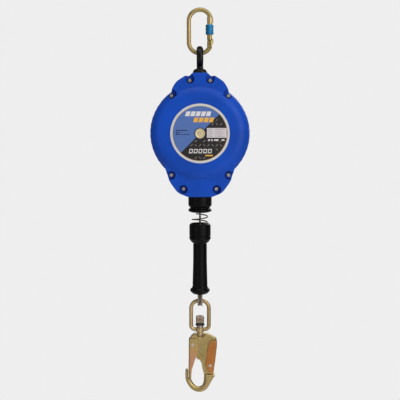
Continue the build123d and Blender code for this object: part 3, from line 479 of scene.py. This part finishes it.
def finish_cad_nodes():
    """Give each CAD node its slot's finish."""
    slot_of = {row["node"]: row["material_slot"] for row in frame["record"]["subparts"]}
    for name, node in frame["nodes"].items():
        node.data.materials.clear()
        node.data.materials.append(looks[slot_of[name]])


finish_cad_nodes()

# ---------------------------------------------------------------- wire rope

ROPE_R = 2.4 * MM
STRANDS = 6
STRAND_R = 0.82 * MM
LAY = 27 * MM                   # length of one turn of a strand
ROPE_STEP = 1.2 * MM
STRAND_SIDES = 8
OUTER_TURN_R = 72.2 * MM        # centre line of the drum's outermost turn
BEND_Z = -428 * MM              # where the rope turns down into the outlet
WOUND = radians(150)            # how far the drawn run lies on the drum
WOUND_STEP = radians(30)


def rope(name, route, first_side, body, node):
    """Six strands laid round a core, along a smooth route."""
    points, distances = even(smooth_line(route), ROPE_STEP)
    across, other = sides_along(points, first_side)
    verts, faces = [], []
    tube_into(verts, faces, points, STRAND_R, STRAND_SIDES)
    offset = ROPE_R - STRAND_R
    for strand in range(STRANDS):
        line = []
        for point, distance, a, b in zip(points, distances, across, other):
            angle = 2 * pi * (strand / STRANDS + distance / LAY)
            line.append(point + (a * cos(angle) + b * sin(angle)) * offset)
        tube_into(verts, faces, line, STRAND_R, STRAND_SIDES)
    piece = build(name, verts, faces, [looks["cable"]], body)
    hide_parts(node)
    return piece


def make_wire_rope():
    """From the drum's outermost turn through the outlet, the spring and the handle."""
    low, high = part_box("cable_winding")
    hub = (low + high) / 2
    drop = hub.z - BEND_Z
    lean = sqrt(1 - (OUTER_TURN_R / drop) ** 2)
    touch = Vector((OUTER_TURN_R * lean, 0, -OUTER_TURN_R ** 2 / drop))
    first_angle = WOUND - atan(OUTER_TURN_R / drop / lean)
    control_r = OUTER_TURN_R / cos(WOUND_STEP / 2)
    route = [hub + Vector((cos(first_angle), 0, sin(first_angle))) * OUTER_TURN_R]
    for k in range(round(WOUND / WOUND_STEP)):
        angle = first_angle - WOUND_STEP * (k + 0.5)
        route.append(hub + Vector((cos(angle), 0, sin(angle))) * control_r)
    bend = Vector((0, 0, BEND_Z))
    route += [(hub + touch).lerp(bend, share) for share in (0.3, 0.78)]
    route += [bend - Vector((0, 0, below * MM)) for below in (0, 30, 70, 120)]
    route.append(Vector((0, 0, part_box("cable_ferrule")[1].z)))
    piece = rope("wire_rope", route, Vector((0, 1, 0)), None, "cable_run")
    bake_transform(piece)


LOOP_LEAN = radians(18)         # of the eye's two legs, which meet above it
LOOP_STEP = radians(36)


def make_rope_loop():
    """The rope's eye round the thimble, edge-on from the front."""
    low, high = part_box("cable_loop")
    radius = (high.y - low.y) / 2 - ROPE_R
    centre = Vector((0, 0, low.z + ROPE_R + radius))
    top = high.z - ROPE_R * sin(LOOP_LEAN)
    half = (radius / sin(LOOP_LEAN) - (top - centre.z)) * tan(LOOP_LEAN)
    route = [Vector((0, -half, top))]
    for k in range(round(pi / LOOP_STEP) + 1):
        angle = pi + LOOP_STEP * k
        route.append(centre + Vector((0, cos(angle), sin(angle))) * (radius / cos(LOOP_STEP / 2)))
    route.append(Vector((0, half, top)))
    rope("rope_loop", route, Vector((1, 0, 0)), "lifeline", "cable_loop")


make_wire_rope()
make_rope_loop()

# ---------------------------------------------------------------- buffer spring

WIRE_R = 1.4 * MM
COIL_R = 17.8 * MM
COIL_PITCH = 13.8 * MM
COIL_STEPS = 48                 # points in each turn
COIL_SIDES = 14
RIGHT_SIDE_Z = -463.7 * MM      # height of the wire's uppermost pass on the right
FLAT_TURNS = 0.75               # closed end on the seat
COIL_PAST = 0.33                # turns above the uppermost pass on the right


def make_buffer_spring():
    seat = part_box("spring_seat")[1].z + WIRE_R + 0.3 * MM
    turns = (RIGHT_SIDE_Z - seat) / COIL_PITCH
    whole = turns + COIL_PAST
    points = []
    count = round((FLAT_TURNS + whole) * COIL_STEPS)
    for k in range(count + 1):
        turn = whole - (FLAT_TURNS + whole) * (1 - k / count)
        height = seat + COIL_PITCH * max(turn, 0.0)
        angle = 2 * pi * (turn - turns)
        points.append(Vector((COIL_R * cos(angle), COIL_R * sin(angle), height)))
    verts, faces = [], []
    tube_into(verts, faces, points, WIRE_R, COIL_SIDES, Vector((0, 0, 1)))
    piece = build("buffer_coil", verts, faces, [looks["spring_steel"]], "lifeline")
    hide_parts("buffer_spring")


make_buffer_spring()

# ---------------------------------------------------------------- locking sleeve

RIBS = 18                       # round the sleeve
RIB_STEPS = 8                   # points round each rib
RIB_DEPTH = 0.4 * MM
GROOVES = (7.3 * MM, 14.7 * MM)   # below the sleeve's top
GROOVE_DEPTH = 1.1 * MM
SLEEVE_END_DEPTH = 2.0 * MM     # how far the sleeve is drawn in at its ends
SLEEVE_BORE_R = 5.15 * MM
SLEEVE_MOUTH = (0.7 * MM, 0.6 * MM)   # width and height of the chamfer in each mouth
SLEEVE_ROWS = 72


def make_locking_sleeve():
    """Blue screw sleeve: three ribbed bulges, with a groove between each two."""
    low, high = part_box("carabiner_sleeve")
    middle = (low + high) / 2
    outer = (high.x - low.x) / 2
    length = high.z - low.z
    wide, tall = SLEEVE_MOUTH
    edges = (0.0, *GROOVES, length)
    profile = [(SLEEVE_BORE_R, low.z + tall, 0), (SLEEVE_BORE_R + wide, low.z, 0)]
    for i in range(SLEEVE_ROWS + 1):
        down = (1 - i / SLEEVE_ROWS) * length
        start, end = next((a, b) for a, b in zip(edges, edges[1:]) if down <= b + 1e-9)
        share = min(max((down - start) / (end - start), 0), 1)
        bulge = sin(pi * share) ** 0.4
        at_end = start == 0 and share < 0.5 or end == length and share > 0.5
        drawn_in = (SLEEVE_END_DEPTH if at_end else GROOVE_DEPTH) * (1 - bulge)
        profile.append((outer - 0.1 * MM - drawn_in, high.z - down, RIB_DEPTH * bulge))
    profile += [(SLEEVE_BORE_R + wide, high.z, 0), (SLEEVE_BORE_R, high.z - tall, 0)]

    def place(row, angle):
        radius, z, rib = row
        radius -= rib * (0.5 - 0.5 * cos(RIBS * angle)) ** 2
        return Vector((middle.x + radius * cos(angle), radius * sin(angle), z))

    verts, faces = turned(profile, RIBS * RIB_STEPS, place, closed=True)
    piece = build("locking_sleeve", verts, faces, [looks["blue_anodised"]], "carabiner_sleeve")
    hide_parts("carabiner_sleeve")


make_locking_sleeve()

# ---------------------------------------------------------------- labels

SILVER_IN = 61.4 * MM           # inner radius of the label's silver border
GOLD_IN = 60.5 * MM
HUB_HOLE = 12.8 * MM
ARC_STEP = 2.5                  # degrees
LIFT = 0.05 * MM                # each layer of print stands this far above the last
DISC, RIM, FIELD, LOW_PRINT, PRINT, TOP_PRINT = range(6)   # the layers, from the disc's face out


class Print:
    """Layers of flat shapes on a disc that faces front (side -1) or back (side 1)."""

    def __init__(self, side):
        low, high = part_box("front_label" if side < 0 else "rear_label")
        self.side = side
        self.face = low.y if side < 0 else high.y
        self.centre_z = (low.z + high.z) / 2
        self.thick = high.y - low.y
        self.outer = (high.x - low.x) / 2
        self.verts, self.faces, self.inks, self.looks = [], [], [], []

    def add(self, faces, look):
        if look not in self.looks:
            self.looks.append(look)
        self.faces += faces
        self.inks += [self.looks.index(look)] * len(faces)

    def point(self, x, z, layer):
        return (-self.side * x, self.face + self.side * layer * LIFT, self.centre_z + z)

    def shape(self, outline, layer, look, thick=None):
        """A flat, closed shape with a wall behind its edge."""
        first, count = len(self.verts), len(outline)
        back = layer - (thick or LIFT) / LIFT
        for level in (layer, back):
            self.verts += [self.point(x, z, level) for x, z in outline]
        ring = range(first, first + count)
        faces = [tuple(ring), tuple(k + count for k in ring)]
        for k in range(count):
            on = (k + 1) % count
            faces.append((first + k, first + count + k, first + count + on, first + on))
        self.add(faces, look)

    def sector(self, inner, outer, start, end, layer, look, thick=None, crown=0.0):
        """Part of a ring, between two angles in degrees. A crown lifts its middle like a beading."""
        steps = max(2, ceil((end - start) / ARC_STEP))
        rows = [(inner, 0.0), (outer, 0.0)]
        if crown:
            rows = [(inner + (outer - inner) * t, crown * sin(pi * t) ** 0.7)
                    for t in (0, 0.08, 0.25, 0.5, 0.75, 0.92, 1)]
        back = layer - (thick or LIFT) / LIFT
        rows = [(inner, None)] + rows + [(outer, None)]
        first, wide = len(self.verts), len(rows)
        sections = steps if end - start == 360 else steps + 1
        for k in range(sections):
            angle = radians(start + (end - start) * k / steps)
            for radius, lift in rows:
                level = back if lift is None else layer + lift / LIFT
                self.verts.append(self.point(radius * cos(angle), radius * sin(angle), level))
        faces = []
        for k in range(steps):
            here, there = first + k * wide, first + (k + 1) % sections * wide
            for r in range(wide):
                on = (r + 1) % wide
                faces.append((here + r, here + on, there + on, there + r))
        if sections > steps:
            faces += [tuple(first + k * wide + r for r in range(wide)) for k in (0, steps)]
        self.add(faces, look)

    def disc(self, radius, layer, look, thick=None):
        count = round(360 / ARC_STEP)
        angles = [2 * pi * k / count for k in range(count)]
        self.shape([(radius * cos(a), radius * sin(a)) for a in angles], layer, look, thick)

    def bar(self, x, z, width, height, layer, look, slant=0.0):
        """A bar in millimetres, from its lower left corner. A slant shifts its top sideways."""
        outline = ((x, z), (x + width, z), (x + width + slant, z + height), (x + slant, z + height))
        self.shape([(a * MM, b * MM) for a, b in outline], layer, look)

    def piece(self, name, node):
        made = build(name, self.verts, self.faces, self.looks, "housing", smooth=False,
                     material_of=self.inks)
        normals_out(made)
        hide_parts(node)


def normals_out(piece):
    """Turn every face outwards."""
    mesh = bmesh.new()
    mesh.from_mesh(piece.data)
    bmesh.ops.recalc_face_normals(mesh, faces=mesh.faces)
    mesh.to_mesh(piece.data)
    mesh.free()


ink = {
    "silver": printed("ink_silver", srgb(226, 224, 222), 0.30, 0.25),
    "gold": printed("ink_gold", srgb(190, 150, 92), 0.30, 0.4),
    "blue": printed("ink_blue", srgb(84, 116, 182), 0.32),
    "black": printed("ink_black", srgb(33, 27, 25), 0.34),
    "dash": printed("ink_dash", srgb(158, 156, 158), 0.34),
    "white": printed("ink_white", srgb(232, 228, 228), 0.32),
    "plate": printed("ink_plate", srgb(218, 210, 214), 0.34),
    "yellow": printed("ink_yellow", srgb(240, 182, 66), 0.32),
    "dark": printed("ink_dark", srgb(38, 48, 84), 0.34),
    "line": printed("ink_line", srgb(168, 160, 164), 0.36),
}


TREAD_PITCH = 9.4 * MM
TREAD_HALF = 4.1 * MM           # half a dash's length
TREAD_WIDE = 0.5 * MM           # half its width
TREAD_REACH = 6                 # rows each side of the hub
TREAD_MARGIN = 5 * MM


def tread_marks(label):
    """Dashes at 45 degrees, as on tread plate, over the free parts of the black field."""
    steps = range(-TREAD_REACH, TREAD_REACH + 1)
    for i, j in ((i, j) for i in steps for j in steps):
        x, z = i * TREAD_PITCH, j * TREAD_PITCH + 2.0 * MM
        out = sqrt(x * x + z * z)
        on_black = z <= x - TREAD_MARGIN and HUB_HOLE + TREAD_MARGIN <= out <= GOLD_IN - TREAD_MARGIN
        on_plate = x > 7 * MM and -14 * MM < z < 15 * MM
        on_boxes = abs(x) < 32 * MM and -50 * MM < z < -30 * MM
        if not on_black or on_plate or on_boxes:
            continue
        lean = radians(45 if (i + j) % 2 else -45)
        along = Vector((cos(lean), sin(lean))) * TREAD_HALF
        side = Vector((-sin(lean), cos(lean))) * TREAD_WIDE
        corners = ((-1, 0), (-0.4, 1), (0.4, 1), (1, 0), (0.4, -1), (-0.4, -1))
        outline = [Vector((x, z)) + along * a + side * b for a, b in corners]
        label.shape([tuple(p) for p in outline], LOW_PRINT, ink["dash"])


def border(label):
    """The silver beading and the thin gold ring inside it."""
    label.sector(SILVER_IN, label.outer, 0, 360, RIM, ink["silver"], crown=0.12 * MM)
    label.sector(GOLD_IN, SILVER_IN, 0, 360, FIELD, ink["gold"])


def make_front_label():
    """Blue and black halves with generic print: blocks, a blank data plate, boxes and lines."""
    label = Print(-1)
    label.sector(HUB_HOLE, label.outer, 0, 360, DISC, ink["silver"], label.thick)
    border(label)
    label.sector(HUB_HOLE, GOLD_IN, 45, 225, FIELD, ink["blue"])
    label.sector(HUB_HOLE, GOLD_IN, 225, 405, FIELD, ink["black"])
    tread_marks(label)
    # two rows of slanted blocks at the top
    for k in range(5):
        label.bar(-33.5 + 11.6 * k, 38.5, 9.4, 10.5, PRINT, ink["white"], 3.2)
    for k in range(4):
        label.bar(-15.5 + 11.6 * k, 25.0, 9.4, 10.5, TOP_PRINT, ink["yellow"], 3.2)
    # data plate with rows of blank entries
    label.bar(15.4, -9.6, 44.2, 21.8, PRINT, ink["plate"])
    for k in range(5):
        z = 8.4 - 4.1 * k
        label.bar(17.4, z, 9 + 2 * (k % 3), 1.3, TOP_PRINT, ink["line"])
        label.bar(33.0, z, 22 - 5 * (k % 2), 1.3, TOP_PRINT, ink["line"])
    # small marks under it
    for x, width in ((18.0, 4.0), (24.5, 3.0), (31.0, 10.0), (48.0, 6.5)):
        label.bar(x, -16.2, width, 3.2, PRINT, ink["white"], 0.8)
    # row of open boxes at the bottom, with a short underline
    for k in range(5):
        x = -25.0 + 10.6 * k
        label.bar(x, -44.0, 8.0, 9.4, PRINT, ink["white"], 1.6)
        label.bar(x + 1.9, -42.2, 4.8, 5.8, TOP_PRINT, ink["black"], 1.0)
    label.bar(12.0, -50.6, 16.8, 3.0, PRINT, ink["yellow"])
    # small dark print on the left: a line, an open frame and three short bars
    line = ((-54.0, 6.0, 26.5, 2.0),)
    frame_bars = ((-53.5, 2.0, 8.0, 1.6), (-53.5, -3.2, 1.6, 6.0), (-47.1, -3.2, 1.6, 6.0),
                  (-53.5, -3.2, 8.0, 1.6))
    short_bars = ((-42.0, -3.2, 4.0, 2.2), (-35.5, -3.2, 4.0, 2.2), (-29.0, -3.2, 5.0, 2.2))
    for x, z, width, height in line + frame_bars + short_bars:
        label.bar(x, z, width, height, PRINT, ink["dark"])
    label.piece("front_label_print", "front_label")


def make_rear_label():
    """A plain instruction disc: a heading bar, rows of lines and three empty boxes."""
    label = Print(1)
    label.disc(label.outer, DISC, ink["silver"], label.thick)
    border(label)
    label.disc(GOLD_IN, FIELD, ink["white"])
    label.bar(-34, 34, 68, 9, LOW_PRINT, ink["blue"])
    for k in range(7):
        label.bar(-42, 26 - 4.6 * k, 84 - 13 * (k % 3), 1.5, LOW_PRINT, ink["line"])
    for k in range(3):
        x = -38 + 27 * k
        label.bar(x, -30, 22, 20, LOW_PRINT, ink["dark"])
        label.bar(x + 1, -29, 20, 18, PRINT, ink["white"])
        label.bar(x + 4 + 3 * k, -26, 3, 12, TOP_PRINT, ink["blue"], 1.5)
    for k in range(3):
        label.bar(-26 + 3 * k, -38 - 4.6 * k, 52 - 6 * k, 1.5, LOW_PRINT, ink["line"])
    label.piece("rear_label_print", "rear_label")


make_front_label()
make_rear_label()

# ---------------------------------------------------------------- hub cap


def make_hub_cap():
    """Turned cap with a dished face, a fine ring and a sunk centre."""
    low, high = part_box("front_hub_cap")
    radius = (high.x - low.x) / 2
    centre_z = (low.z + high.z) / 2
    # in millimetres: (in from the rim, sunk from the face), and (radius, sunk from the face)
    rim = ((0, 0.8), (0.25, 0.3), (0.8, 0), (1.6, 0.05), (2.2, 0.5), (4.5, 0.62), (5.0, 0.95),
           (5.5, 0.62))
    centre = ((3.4, 0.5), (2.9, 0.2), (2.3, 0.3), (1.9, 1.5), (0, 1.8))
    profile = [(0.0, high.y), (radius, high.y)]
    profile += [(radius - inset * MM, low.y + sunk * MM) for inset, sunk in rim]
    profile += [(r * MM, low.y + sunk * MM) for r, sunk in centre]

    def place(row, angle):
        r, y = row
        return Vector((r * cos(angle), y, centre_z + r * sin(angle)))

    verts, faces = turned(profile, 96, place)
    piece = build("hub_cap", verts, faces, [looks["cap_gold"]], "housing")
    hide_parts("front_hub_cap")


make_hub_cap()

# ---------------------------------------------------------------- stage

FLOOR_Z = -2.0
FLOOR_R = 3.0
FLOOR_SIDES = 96
BACKDROP = srgb(238, 238, 238)


def make_floor():
    angles = [2 * pi * k / FLOOR_SIDES for k in range(FLOOR_SIDES)]
    verts = [(0, 0, FLOOR_Z)] + [(FLOOR_R * cos(a), FLOOR_R * sin(a), FLOOR_Z) for a in angles]
    faces = [(0, 1 + k, 1 + (k + 1) % FLOOR_SIDES) for k in range(FLOOR_SIDES)]
    mesh = bpy.data.meshes.new("floor")
    mesh.from_pydata(verts, [], faces)
    pale = Finish("floor", BACKDROP, roughness=0.9, Emission_Color=BACKDROP, Emission_Strength=0.22)
    mesh.materials.append(pale.done())
    floor = bpy.data.objects.new("floor", mesh)
    scene.collection.objects.link(floor)


def area_light(name, place, aim, size, power):
    data = bpy.data.lights.new(name, "AREA")
    data.shape = "RECTANGLE"
    data.size, data.size_y = size
    data.energy = power
    light = bpy.data.objects.new(name, data)
    scene.collection.objects.link(light)
    light.location = place
    light.rotation_mode = "QUATERNION"
    light.rotation_quaternion = (Vector(aim) - Vector(place)).to_track_quat("-Z", "Y")


def make_light():
    area_light("key", (1.5, -1.6, 0.2), (0, 0, -0.4), (1.2, 2.2), 26)
    area_light("fill", (-1.6, -1.8, -0.2), (0, 0, -0.45), (1.6, 2.2), 7)
    area_light("low", (0.8, -2.7, -1.3), (0, 0, -0.7), (1.6, 1.4), 8)
    area_light("top", (0.0, -0.6, 1.3), (0, 0, -0.4), (1.6, 1.2), 12)
    area_light("back", (0.6, 1.8, 0.3), (0, 0, -0.45), (1.4, 1.4), 16)


def make_world():
    """A pale backdrop for the camera, and a dim room for light and reflections."""
    world = bpy.data.worlds.new("studio")
    scene.world = world
    world.use_nodes = True
    tree = world.node_tree
    tree.nodes.clear()
    room = tree.nodes.new("ShaderNodeBackground")
    room.inputs["Color"].default_value = (1, 1, 1, 1)
    room.inputs["Strength"].default_value = 0.2
    backdrop = tree.nodes.new("ShaderNodeBackground")
    backdrop.inputs["Color"].default_value = BACKDROP
    ray = tree.nodes.new("ShaderNodeLightPath")
    mix = tree.nodes.new("ShaderNodeMixShader")
    out = tree.nodes.new("ShaderNodeOutputWorld")
    tree.links.new(ray.outputs["Is Camera Ray"], mix.inputs["Fac"])
    tree.links.new(room.outputs[0], mix.inputs[1])
    tree.links.new(backdrop.outputs[0], mix.inputs[2])
    tree.links.new(mix.outputs[0], out.inputs["Surface"])


make_floor()
make_light()
make_world()
scene.view_settings.view_transform = "Standard"
